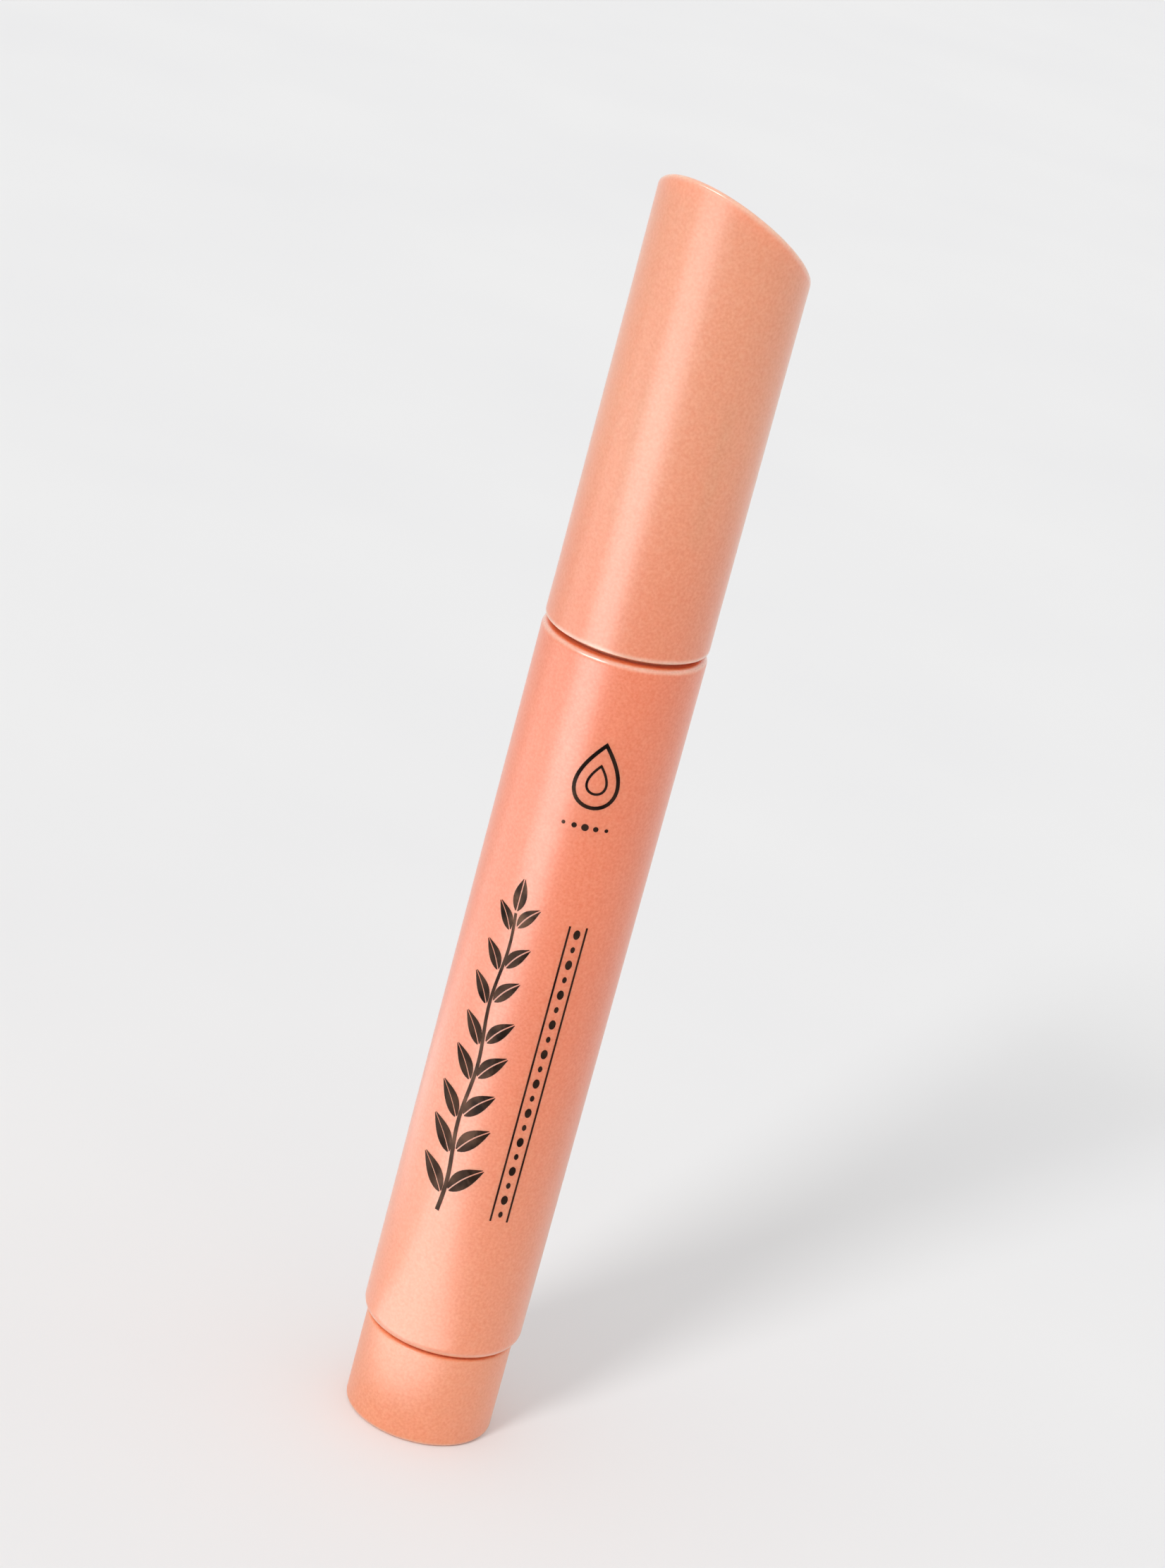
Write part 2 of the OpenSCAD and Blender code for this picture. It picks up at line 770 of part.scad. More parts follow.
module click_ring() {
    color([0.85, 0.86, 0.88])
        translate([0, 0, z_ring0])
            linear_extrude(ring_len)
                union() {
                    difference() {
                        circle(r = hub_r);
                        circle(r = sleeve_r + rod_fit);
                        around(key_count)
                            translate([0, -key_w / 2 - rod_fit])
                                square([sleeve_r + key_h + rod_fit, key_w + 2 * rod_fit]);
                    }
                    around(pawl_count)
                        spring_arm();
                }
}

// One thread tooth on a rounded side of the rod, cut off just inside the flats
module rod_tooth() {
    half = flats_w / 2 - tooth_edge;
    inner_r = core_r - thread_bury;
    corner = function (r, s, z) let (a = asin(half / r) * s) polar(r, a, z + lead * a / 360);
    points = [for (i = [0:tooth_steps]) let (s = 2 * i / tooth_steps - 1)
        each [corner(inner_r, s, -thread_root_w / 2), corner(rod_r, s, -thread_crest_w / 2),
            corner(rod_r, s, thread_crest_w / 2), corner(inner_r, s, thread_root_w / 2)]];
    polyhedron(points, concat(sweep_sides(tooth_steps + 1, 4), sweep_ends(tooth_steps + 1)));
}

module piston_rod() {
    thread_len = z_rod_shoulder - z_rod0 - 2 * thread_end;
    half_turns = floor(2 * thread_len / lead);
    head = [
        [0, z_rod_shoulder - cut],
        [neck_r, z_rod_shoulder - cut],
        [neck_r, z_head0],
        [head_r, z_head0],
        [head_r, z_head1 - head_chamfer],
        [head_r - head_chamfer, z_head1],
        [0, z_head1]];
    color(natural_white) {
        intersection() {
            lathe([[0, z_rod0], [core_r - rod_chamfer, z_rod0], [core_r, z_rod0 + rod_chamfer],
                [core_r, z_rod_shoulder], [0, z_rod_shoulder]]);
            translate([-rod_r, -flats_w / 2, z_rod0])
                cube([2 * rod_r, flats_w, z_rod_shoulder - z_rod0]);
        }
        for (i = [0:half_turns])
            translate([0, 0, z_rod0 + thread_end + i * lead / 2])
                rotate([0, 0, 180 * i])
                    rod_tooth();
        lathe(head);
    }
}

module piston() {
    waist_r = piston_r - piston_waist;
    chamber_r = head_r + socket_fit;
    z_chamber0 = z_piston0 + socket_lip_h;
    z_chamber1 = z_head1 + turn_gap;
    outline = [
        [neck_r + socket_fit, z_piston0],
        [piston_r - piston_lip_taper, z_piston0],
        [piston_r, z_piston0 + piston_lip_taper],
        [piston_r, z_piston0 + piston_lip_h],
        [waist_r, z_piston0 + piston_lip_h + piston_lip_taper],
        [waist_r, z_piston1 - piston_lip_h - piston_lip_taper],
        [piston_r, z_piston1 - piston_lip_h],
        [piston_r, z_piston1],
        [piston_r - piston_lip_taper, z_piston1],
        [piston_r - piston_lip_taper - piston_dish, z_piston1 - piston_dish],
        [0, z_piston1 - piston_dish],
        [0, z_chamber1],
        [chamber_r - socket_fit, z_chamber1],
        [chamber_r, z_chamber1 - socket_fit],
        [chamber_r, z_chamber0],
        [neck_r + socket_fit, z_chamber0]];
    color(natural_white)
        lathe(outline);
}

barrel();
neck();
neck_oring();
brush_holder();
brush_ferrule();
bristles();
feed_tube();
threaded_guide();
cap_shell();
cap_liner();
cap_seal();
knob();
knob_oring();
drive_sleeve();
click_ring();
piston_rod();
piston();
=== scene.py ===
"""A nail oil pen with a pull-off cap and a twist-up foot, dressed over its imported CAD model."""

import json
import math
import random

import bpy
from mathutils import Matrix, Vector


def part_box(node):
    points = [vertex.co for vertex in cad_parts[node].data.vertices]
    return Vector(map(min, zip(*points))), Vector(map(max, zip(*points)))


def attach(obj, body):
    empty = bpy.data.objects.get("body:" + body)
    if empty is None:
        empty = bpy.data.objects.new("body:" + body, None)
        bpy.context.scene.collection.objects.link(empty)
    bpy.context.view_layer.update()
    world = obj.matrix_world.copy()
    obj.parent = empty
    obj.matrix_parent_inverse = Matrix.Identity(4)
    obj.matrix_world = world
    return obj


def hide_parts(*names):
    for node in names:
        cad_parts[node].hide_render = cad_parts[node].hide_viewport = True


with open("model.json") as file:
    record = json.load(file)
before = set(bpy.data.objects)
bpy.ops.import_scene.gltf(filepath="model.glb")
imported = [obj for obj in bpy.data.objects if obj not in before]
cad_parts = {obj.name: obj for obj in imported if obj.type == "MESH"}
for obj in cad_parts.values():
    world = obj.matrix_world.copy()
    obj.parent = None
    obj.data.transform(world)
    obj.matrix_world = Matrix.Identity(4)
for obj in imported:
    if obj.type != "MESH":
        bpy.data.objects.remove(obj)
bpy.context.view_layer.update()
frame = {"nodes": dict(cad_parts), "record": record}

# Sizes are in millimetres, as in the CAD model, and MM turns them into Blender's metres.
MM = 0.001


def node_size(name):
    """A round CAD node's radius, foot and top in millimetres, to a thousandth."""
    low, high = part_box(name)
    return [round(value / MM, 3) for value in (max(high.x, high.y), low.z, high.z)]


# Fineness of the meshes. An edge longer than LONG_EDGE has a point NEAR_EDGE from each end.
SIDES = 192
ROUND_STEPS = 10
NEAR_EDGE = 0.12
LONG_EDGE = 1.5
SHARP_ANGLE = 38
ON_AXIS = 1e-6

# Barrel
BARREL_R, BARREL_Z0, BARREL_Z1 = node_size("barrel")
BORE_R = 5.7
MECH_R = 6.2
LIP_R = 5.95
LIP_Z = BARREL_Z0 + 2.25
LOWER_ROUND = 1.2
SHOULDER_ROUND = 0.6
GUIDE_Z1 = node_size("threaded_guide")[2]
GUIDE_BEAD_Z = GUIDE_Z1 - 6.5
GUIDE_BEAD_HALF = 0.63
GUIDE_BEAD_H = 0.12
TAB_SLOTS = 2
TAB_SLOT_R = 6.68
TAB_SLOT_HALF = 7.7

# Knob
KNOB_R, _, KNOB_H = node_size("knob")
KNOB_IN_R = 5.75
KNOB_FLOOR = 1.4
KNOB_ROUND = 0.5
KNOB_TOP_ROUND = 0.3
FOOT_DISH_R = 4.8
FOOT_DISH_H = 0.3
GATE_R = 0.7
GATE_H = 0.12
KNOB_RIBS = 4
KNOB_RIB_R = 5.25
KNOB_RIB_Z = KNOB_H - 3
KNOB_RIB_HALF = 4

# Neck plug
NECK_FLANGE_R, NECK_PLUG_Z, NECK_TOP_Z = node_size("neck")
NECK_FLANGE_Z = BARREL_Z1 + 0.8
NECK_BORE_R = 3.6
NECK_PLUG_R = 5.67
NECK_GROOVE_R = 4.66
NECK_GROOVE_Z = NECK_PLUG_Z + 3.6
NECK_GROOVE_HALF = 0.55
NECK_COLLAR_R = 5.6
NECK_BEAD_R = 5.85
NECK_BEAD_Z = NECK_TOP_Z - 3.5
NECK_BEAD_HALF = 1
NECK_BEAD_FLAT = 0.25
NECK_CHAMFER = 0.3

# Cap
CAP_R, CAP_Z0, _ = node_size("cap_shell")
CAP_TOP_R = CAP_R - 0.07
CAP_IN_R = 6.59
CAP_MOUTH_ROUND = 0.3
CAP_MOUTH_CHAMFER = 0.2
CAP_FLARE = 0.03
CAP_FLARE_Z = CAP_Z0 + 2.6
CAP_BLEND_Z = CAP_Z0 + 3.4
CAP_WALL_Z = CAP_Z0 + 28.5
SLANT_Z = CAP_Z0 + 37.1
SLANT_TILT = 34
SLANT_FALL = 57
SLANT_ROUND = 0.3
SLANT_WALL = 1.1
CAP_RIBS = 6
CAP_RIB_W = 0.8
CAP_RIB_R = 4.63
CAP_RIB_Z = CAP_Z0 + 10.9
CAP_RIB_LEN = 13
CAP_RIB_SUNK = 0.3

# Brush
BRISTLE_COUNT = 430
BRISTLE_SEED = 7
BRISTLE_SIDES = 5
BRISTLE_RINGS = 9
BRISTLE_MOUTH_Z = node_size("brush_ferrule")[2]
BRISTLE_FOOT_Z = BRISTLE_MOUTH_Z - 1
BRISTLE_BELLY_Z = BRISTLE_MOUTH_Z + 1.74
BRISTLE_CLOSED_Z = BRISTLE_MOUTH_Z + 4.1
BRISTLE_TIP_Z = BRISTLE_MOUTH_Z + 7.8
BRISTLE_FOOT_R = 1.5
BRISTLE_BELLY_R = 1.8
BRISTLE_TIP_R = 0.24
BRISTLE_THICK = 0.062
BRISTLE_THINNER = 0.85
BRISTLE_THICKER = 1.1
BRISTLE_POINT = 0.02
BRISTLE_TAPER = 2.5
BRISTLE_DOME = 1.9
BRISTLE_RAGGED = 0.45
BRISTLE_STRAY = 0.08
BRISTLE_LEAN = 0.05
GOLDEN_ANGLE = math.pi * (3 - math.sqrt(5))
TUBE_ROOM = 0.67


# Shapes


def arc(r, z, radius, start, end):
    """Points of a round in the r, z plane, from one angle to another."""
    turn = end - start
    angles = [math.radians(start + turn * i / ROUND_STEPS) for i in range(ROUND_STEPS + 1)]
    return [(r + radius * math.cos(a), z + radius * math.sin(a)) for a in angles]


def held(outline):
    """The outline with a point close to both ends of each long edge, so that rounds shade true."""
    points = []
    for (r0, z0), (r1, z1) in zip(outline, outline[1:] + outline[:1]):
        points.append((r0, z0))
        length = math.hypot(r1 - r0, z1 - z0)
        if length > LONG_EDGE and max(r0, r1) > NEAR_EDGE:
            for t in (NEAR_EDGE / length, 1 - NEAR_EDGE / length):
                points.append((r0 + (r1 - r0) * t, z0 + (z1 - z0) * t))
    return points


def spun(outline, angle):
    """The outline's points in the half plane at that angle."""
    c, s = math.cos(math.radians(angle)), math.sin(math.radians(angle))
    return [Vector((r * c, r * s, z)) for r, z in outline]


def in_scene(name, data):
    """A new object in the scene, from a mesh or from a lamp's or camera's data."""
    made = bpy.data.objects.new(name, data)
    bpy.context.scene.collection.objects.link(made)
    return made


def mesh_piece(name, points, faces, smooth=True):
    """A new object from points in millimetres, and faces that are wound to look outward."""
    mesh = bpy.data.meshes.new(name)
    mesh.from_pydata([p * MM for p in points], [], faces)
    mesh.validate()
    piece = in_scene(name, mesh)
    if smooth:
        mesh.shade_smooth()
        mesh.set_sharp_from_angle(angle=math.radians(SHARP_ANGLE))
    return piece


def turned(name, column, extra=()):
    """A turned solid. column(angle) gives the closed outline there, and it may change with the angle."""
    columns = [column(360 * j / SIDES) for j in range(SIDES)]
    points, index = [], []
    for i in range(len(columns[0])):
        if all(math.hypot(c[i].x, c[i].y) < ON_AXIS for c in columns):
            index.append([len(points)] * SIDES)
            points.append(columns[0][i])
        else:
            index.append(list(range(len(points), len(points) + SIDES)))
            points.extend(c[i] for c in columns)
    faces = []
    for i, row in enumerate(index):
        after = index[(i + 1) % len(index)]
        for j in range(SIDES):
            k = (j + 1) % SIDES
            corners = list(dict.fromkeys((row[j], row[k], after[k], after[j])))
            if len(corners) > 2:
                faces.append(corners)
    for more_points, more_faces in extra:
        start = len(points)
        points.extend(more_points)
        faces.extend([start + v for v in f] for f in more_faces)
    return mesh_piece(name, points, faces)


def near_angle(angle, count, half):
    """True if the angle lies within half of one of count equal turns."""
    step = 360 / count
    return abs((angle + step / 2) % step - step / 2) <= half


def barrel_column(angle):
    """The barrel's outline, with the guide's tab slots cut into the bore."""
    slot = TAB_SLOT_R if near_angle(angle, TAB_SLOTS, TAB_SLOT_HALF) else MECH_R
    bead = max(slot, MECH_R + GUIDE_BEAD_H)
    outline = (
        [(LIP_R, BARREL_Z0)]
        + arc(BARREL_R - LOWER_ROUND, BARREL_Z0 + LOWER_ROUND, LOWER_ROUND, -90, 0)
        + arc(BARREL_R - SHOULDER_ROUND, BARREL_Z1 - SHOULDER_ROUND, SHOULDER_ROUND, 0, 90)
        + [
            (BORE_R, BARREL_Z1),
            (BORE_R, GUIDE_Z1),
            (slot, GUIDE_Z1),
            (slot, GUIDE_BEAD_Z + GUIDE_BEAD_HALF),
            (bead, GUIDE_BEAD_Z),
            (slot, GUIDE_BEAD_Z - GUIDE_BEAD_HALF),
            (slot, LIP_Z),
            (LIP_R, LIP_Z),
        ]
    )
    return spun(held(outline), angle)


def knob_column(angle):
    """The knob's outline: a cup with a dished foot, a gate mark and inner ribs."""
    rib = near_angle(angle, KNOB_RIBS, KNOB_RIB_HALF)
    wall = KNOB_RIB_R if rib else KNOB_IN_R
    outline = (
        [
            (0, FOOT_DISH_H - GATE_H),
            (GATE_R, FOOT_DISH_H - GATE_H),
            (GATE_R + GATE_H, FOOT_DISH_H),
            (FOOT_DISH_R, FOOT_DISH_H),
            (FOOT_DISH_R + FOOT_DISH_H, 0),
        ]
        + arc(KNOB_R - KNOB_ROUND, KNOB_ROUND, KNOB_ROUND, -90, 0)
        + arc(KNOB_R - KNOB_TOP_ROUND, KNOB_H - KNOB_TOP_ROUND, KNOB_TOP_ROUND, 0, 90)
        + [
            (KNOB_IN_R, KNOB_H),
            (KNOB_IN_R, KNOB_RIB_Z),
            (wall, KNOB_RIB_Z - NEAR_EDGE),
            (wall, KNOB_FLOOR),
            (0, KNOB_FLOOR),
        ]
    )
    return spun(held(outline), angle)


def neck_column(angle):
    """The neck plug's outline, with its O-ring groove, flange and snap bead."""
    outline = [
        (NECK_BORE_R, NECK_PLUG_Z),
        (NECK_PLUG_R - NECK_CHAMFER, NECK_PLUG_Z),
        (NECK_PLUG_R, NECK_PLUG_Z + NECK_CHAMFER),
        (NECK_PLUG_R, NECK_GROOVE_Z - NECK_GROOVE_HALF),
        (NECK_GROOVE_R, NECK_GROOVE_Z - NECK_GROOVE_HALF),
        (NECK_GROOVE_R, NECK_GROOVE_Z + NECK_GROOVE_HALF),
        (NECK_PLUG_R, NECK_GROOVE_Z + NECK_GROOVE_HALF),
        (NECK_PLUG_R, BARREL_Z1),
        (NECK_FLANGE_R, BARREL_Z1),
        (NECK_FLANGE_R, NECK_FLANGE_Z - NECK_CHAMFER),
        (NECK_FLANGE_R - NECK_CHAMFER, NECK_FLANGE_Z),
        (NECK_COLLAR_R, NECK_FLANGE_Z),
        (NECK_COLLAR_R, NECK_BEAD_Z - NECK_BEAD_HALF),
        (NECK_BEAD_R, NECK_BEAD_Z - NECK_BEAD_FLAT),
        (NECK_BEAD_R, NECK_BEAD_Z + NECK_BEAD_FLAT),
        (NECK_COLLAR_R, NECK_BEAD_Z + NECK_BEAD_HALF),
        (NECK_COLLAR_R, NECK_TOP_Z - NECK_CHAMFER),
        (NECK_COLLAR_R - NECK_CHAMFER, NECK_TOP_Z),
        (NECK_BORE_R, NECK_TOP_Z),
    ]
    return spun(held(outline), angle)


def slant_normal():
    """The direction that the cap's slanted top faces."""
    tilt, fall = math.radians(SLANT_TILT), math.radians(SLANT_FALL)
    sideways = math.sin(tilt)
    return Vector((sideways * math.cos(fall), sideways * math.sin(fall), math.cos(tilt)))


def slant_point(x, y, drop):
    """The point of the slanted plane over x, y, lowered by drop measured square to the plane."""
    n = slant_normal()
    return Vector((x, y, SLANT_Z - (n.x * x + n.y * y + drop) / n.z))


def cap_column(angle):
    """The cap shell's outline at an angle, with its rounded slanted rim."""
    out = Vector((math.cos(math.radians(angle)), math.sin(math.radians(angle)), 0))
    n = slant_normal()
    reach = CAP_TOP_R - SLANT_ROUND
    centre = slant_point(reach * out.x, reach * out.y, SLANT_ROUND)
    rim = [centre + SLANT_ROUND * out.slerp(n, i / ROUND_STEPS) for i in range(ROUND_STEPS + 1)]
    shrink = 1 - NEAR_EDGE / reach
    inner = slant_point(shrink * rim[-1].x, shrink * rim[-1].y, 0)
    below = rim[0] - Vector((0, 0, NEAR_EDGE))
    outside = held(
        [(CAP_IN_R + CAP_MOUTH_CHAMFER, CAP_Z0)]
        + arc(CAP_R - CAP_MOUTH_ROUND, CAP_Z0 + CAP_MOUTH_ROUND, CAP_MOUTH_ROUND, -90, 0)
        + [
            (CAP_R - CAP_FLARE / 2, CAP_FLARE_Z),
            (CAP_R - CAP_FLARE, CAP_BLEND_Z),
            (CAP_TOP_R, CAP_WALL_Z),
        ]
    )[:-2]
    roof = [slant_point(r * out.x, r * out.y, SLANT_WALL) for r in (0, CAP_IN_R - NEAR_EDGE, CAP_IN_R)]
    inside = [(CAP_IN_R, CAP_Z0 + CAP_MOUTH_CHAMFER)]
    return (
        spun(outside, angle)
        + [below]
        + rim
        + [inner, slant_point(0, 0, 0)]
        + roof
        + spun(inside, angle)
    )


def block(x0, x1, width, z0, z1, angle):
    """The points and faces of a rib that stands out from the axis at an angle."""
    turn = Matrix.Rotation(math.radians(angle), 3, "Z")
    corners = [(x, y, z) for x in (x0, x1) for y in (-width / 2, width / 2) for z in (z0, z1)]
    faces = [(0, 1, 3, 2), (4, 6, 7, 5), (0, 4, 5, 1), (2, 3, 7, 6), (0, 2, 6, 4), (1, 5, 7, 3)]
    return [turn @ Vector(c) for c in corners], faces


def cap_ribs():
    """The ribs inside the cap that hold the inner cap's tube, with their feet sunk in the wall."""
    foot = CAP_IN_R + CAP_RIB_SUNK
    top = CAP_RIB_Z + CAP_RIB_LEN
    angles = [360 * i / CAP_RIBS for i in range(CAP_RIBS)]
    return [block(CAP_RIB_R, foot, CAP_RIB_W, CAP_RIB_Z, top, angle) for angle in angles]


def bristle_edge(z):
    """The tuft's outer radius at a height."""
    if z < BRISTLE_MOUTH_Z:
        return BRISTLE_FOOT_R
    if z < BRISTLE_BELLY_Z:
        t = (z - BRISTLE_MOUTH_Z) / (BRISTLE_BELLY_Z - BRISTLE_MOUTH_Z)
        return BRISTLE_FOOT_R + (BRISTLE_BELLY_R - BRISTLE_FOOT_R) * math.sin(math.pi / 2 * t)
    t = min(1, (z - BRISTLE_BELLY_Z) / (BRISTLE_TIP_Z - BRISTLE_BELLY_Z))
    return BRISTLE_TIP_R + (BRISTLE_BELLY_R - BRISTLE_TIP_R) * math.cos(math.pi / 2 * t)


def bristle_tuft():
    """The brush: tapered fibres round the feed tube, which close to a point above it."""
    rng = random.Random(BRISTLE_SEED)
    points, faces = [], []
    for k in range(BRISTLE_COUNT):
        share = math.sqrt((k + 0.5) / BRISTLE_COUNT)
        angle = k * GOLDEN_ANGLE + rng.uniform(-BRISTLE_STRAY, BRISTLE_STRAY)
        top = BRISTLE_TIP_Z - BRISTLE_DOME * share**2 - rng.uniform(0, BRISTLE_RAGGED)
        thick = BRISTLE_THICK * rng.uniform(BRISTLE_THINNER, BRISTLE_THICKER)
        lean = rng.uniform(-BRISTLE_LEAN, BRISTLE_LEAN)
        start = len(points)
        for i in range(BRISTLE_RINGS):
            t = i / (BRISTLE_RINGS - 1)
            z = BRISTLE_FOOT_Z + (top - BRISTLE_FOOT_Z) * t
            closed = (z - BRISTLE_BELLY_Z) / (BRISTLE_CLOSED_Z - BRISTLE_BELLY_Z)
            room = (TUBE_ROOM + thick) * (1 - min(1, max(0, closed)))
            r = room + (bristle_edge(z) - thick - room) * share
            turn = angle + lean * t
            centre = Vector((r * math.cos(turn), r * math.sin(turn), z))
            fine = BRISTLE_POINT + (thick - BRISTLE_POINT) * (1 - t**BRISTLE_TAPER)
            for s in range(BRISTLE_SIDES):
                a = 2 * math.pi * s / BRISTLE_SIDES
                points.append(centre + Vector((fine * math.cos(a), fine * math.sin(a), 0)))
        for i in range(BRISTLE_RINGS - 1):
            ring = start + i * BRISTLE_SIDES
            for s in range(BRISTLE_SIDES):
                a, b = ring + s, ring + (s + 1) % BRISTLE_SIDES
                faces.append((a, b, b + BRISTLE_SIDES, a + BRISTLE_SIDES))
        last = start + (BRISTLE_RINGS - 1) * BRISTLE_SIDES
        faces.append(tuple(range(start + BRISTLE_SIDES - 1, start - 1, -1)))
        faces.append(tuple(range(last, last + BRISTLE_SIDES)))
    return mesh_piece("bristle_tuft", points, faces)


# Foil ornament

# A place on the barrel is s, the way round to the right of its front, and height z.
FOIL_PROUD = 0.03
FOIL_SUNK = 0.05
FOIL_ACROSS = 4
MITRE_LIMIT = 0.35

# Dots and leaves are cut short by a share at both ends, where they would come to a point.
DOT_ROWS = 10
DOT_CUT = 0.06
LEAF_ROWS = 12
LEAF_CUT = 0.03
LEAF_SKEW = 0.82
LEAF_BLUNT = 0.9
LEAF_BEND = 0.06
LEAF_EDGE = 0.1
MIDRIB_HALF = 0.06

# Emblem. Each of the drop's two outlines has a scale and a line width.
EMBLEM_S = 0.9
EMBLEM_Z = 68.9
DROP_HALF_W = 2.5
DROP_HALF_H = 3
DROP_LINES = ((1, 0.34), (0.45, 0.22))
DROP_SINK = 0.6
DROP_ROWS = 48
EMBLEM_DOTS = (0.34, 0.48, 0.66, 0.48, 0.34)
EMBLEM_DOT_STEP = 0.98
EMBLEM_DOT_DROP = 4.9

# Sprig. Its leaves get smaller and lie closer to the stem towards its tip.
SPRIG_S = -3.1
SPRIG_Z0 = 24
SPRIG_Z1 = 54.2
SPRIG_ROWS = 60
SPRIG_SWAY = 0.22
SPRIG_SWAY_ROWS = 12
STEM_W = 0.42
STEM_THINNING = 0.16
LEAF_PAIRS = 8
LEAF_PLACE = 0.55
LEAF_LEN = 4.3
LEAF_W = 1.75
LEAF_SHRINK = 0.34
LEAF_TURN = 44
LEAF_CLOSING = 8
LEAF_GAP = 0.3
LEAF_STAGGER = 0.25
TIP_LEAF_LEN = 3.3
TIP_LEAF_W = 1.3
TIP_LEAF_GAP = 0.15

# Rules and beads
RULES_S = 2.75
RULES_HALF = 0.8
RULES_Z0 = 24.5
RULES_Z1 = 54.5
RULES_ROWS = 20
RULE_W = 0.17
BEADS = 20
BEAD_SIZES = (0.4, 0.62)
BEAD_STRETCH = 1.5


def on_barrel(s, z, lift):
    """The point on the barrel at that place, lifted off its surface."""
    r, a = BARREL_R + lift, s / BARREL_R
    return Vector((r * math.sin(a), -r * math.cos(a), z))


def band(points, faces, left, right, ring=False):
    """Adds a thin closed solid between two edges that are drawn on the barrel."""
    rows, across = len(left), FOIL_ACROSS + 1
    start, under = len(points), rows * across
    for lift in (FOIL_PROUD, -FOIL_SUNK):
        for (s0, z0), (s1, z1) in zip(left, right):
            for c in range(across):
                t = c / FOIL_ACROSS
                points.append(on_barrel(s0 + (s1 - s0) * t, z0 + (z1 - z0) * t, lift))
    for i in range(rows if ring else rows - 1):
        a, b = start + i * across, start + (i + 1) % rows * across
        for c in range(FOIL_ACROSS):
            faces.append((a + c, a + c + 1, b + c + 1, b + c))
            faces.append((under + a + c, under + b + c, under + b + c + 1, under + a + c + 1))
        faces.append((a, b, under + b, under + a))
        a, b = a + FOIL_ACROSS, b + FOIL_ACROSS
        faces.append((b, a, under + a, under + b))
    if not ring:
        a, b = start, start + (rows - 1) * across
        for c in range(FOIL_ACROSS):
            faces.append((a + c + 1, a + c, under + a + c, under + a + c + 1))
            faces.append((b + c, b + c + 1, under + b + c + 1, under + b + c))


def stroke(points, faces, line, width, ring=False):
    """Adds a line of that width, or of one width a point, mitred where it bends."""
    widths = width if isinstance(width, list) else [width] * len(line)
    left, right = [], []
    for i, (p, w) in enumerate(zip(line, widths)):
        before = line[i - 1] if ring or i else p
        after = line[(i + 1) % len(line)] if ring or i + 1 < len(line) else p
        sides = []
        for a, b in ((before, p), (p, after)):
            if a != b:
                step = Vector(b) - Vector(a)
                sides.append(Vector((step.y, -step.x)).normalized())
        side = sum(sides, Vector((0, 0))).normalized()
        reach = w / 2 / max(MITRE_LIMIT, side.dot(sides[0]))
        left.append(tuple(Vector(p) - side * reach))
        right.append(tuple(Vector(p) + side * reach))
    band(points, faces, left, right, ring)


def dot(points, faces, s, z, width, height):
    """Adds a small oval."""
    angles = [math.pi * (DOT_CUT + (1 - 2 * DOT_CUT) * i / DOT_ROWS) for i in range(DOT_ROWS + 1)]
    line = [(s, z - height / 2 * math.cos(a)) for a in angles]
    stroke(points, faces, line, [width * math.sin(a) for a in angles])


def leaf(points, faces, s, z, length, width, turn):
    """Adds one leaf from its foot, as two halves on both sides of a bare midrib."""
    along, side = Vector((math.sin(turn), math.cos(turn))), Vector((math.cos(turn), -math.sin(turn)))
    bend = math.copysign(LEAF_BEND * length, turn) if turn else 0
    for hand in (-1, 1):
        mid, edge = [], []
        for i in range(LEAF_ROWS + 1):
            t = LEAF_CUT + (1 - 2 * LEAF_CUT) * i / LEAF_ROWS
            half = max(LEAF_EDGE, width / 2 * math.sin(math.pi * t**LEAF_SKEW) ** LEAF_BLUNT)
            spot = Vector((s, z)) + along * length * t - side * bend * math.sin(math.pi * t)
            mid.append(tuple(spot + side * hand * MIDRIB_HALF))
            edge.append(tuple(spot + side * hand * half))
        left, right = (edge, mid) if hand < 0 else (mid, edge)
        band(points, faces, left, right)


def foil_emblem():
    """A plain drop outline, with a smaller one inside it and a row of dots under it."""
    points, faces = [], []
    turns = [2 * math.pi * i / DROP_ROWS for i in range(DROP_ROWS)]
    for scale, width in DROP_LINES:
        half_w, half_h = scale * DROP_HALF_W, scale * DROP_HALF_H
        middle = EMBLEM_Z - DROP_SINK * (1 - scale)
        line = [
            (EMBLEM_S + half_w * math.sin(t) * math.sin(t / 2), middle + half_h * math.cos(t))
            for t in turns
        ]
        stroke(points, faces, line, width, ring=True)
    for k, size in enumerate(EMBLEM_DOTS):
        s = EMBLEM_S + EMBLEM_DOT_STEP * (k - len(EMBLEM_DOTS) // 2)
        dot(points, faces, s, EMBLEM_Z - EMBLEM_DOT_DROP, size, size)
    return mesh_piece("foil_emblem", points, faces)


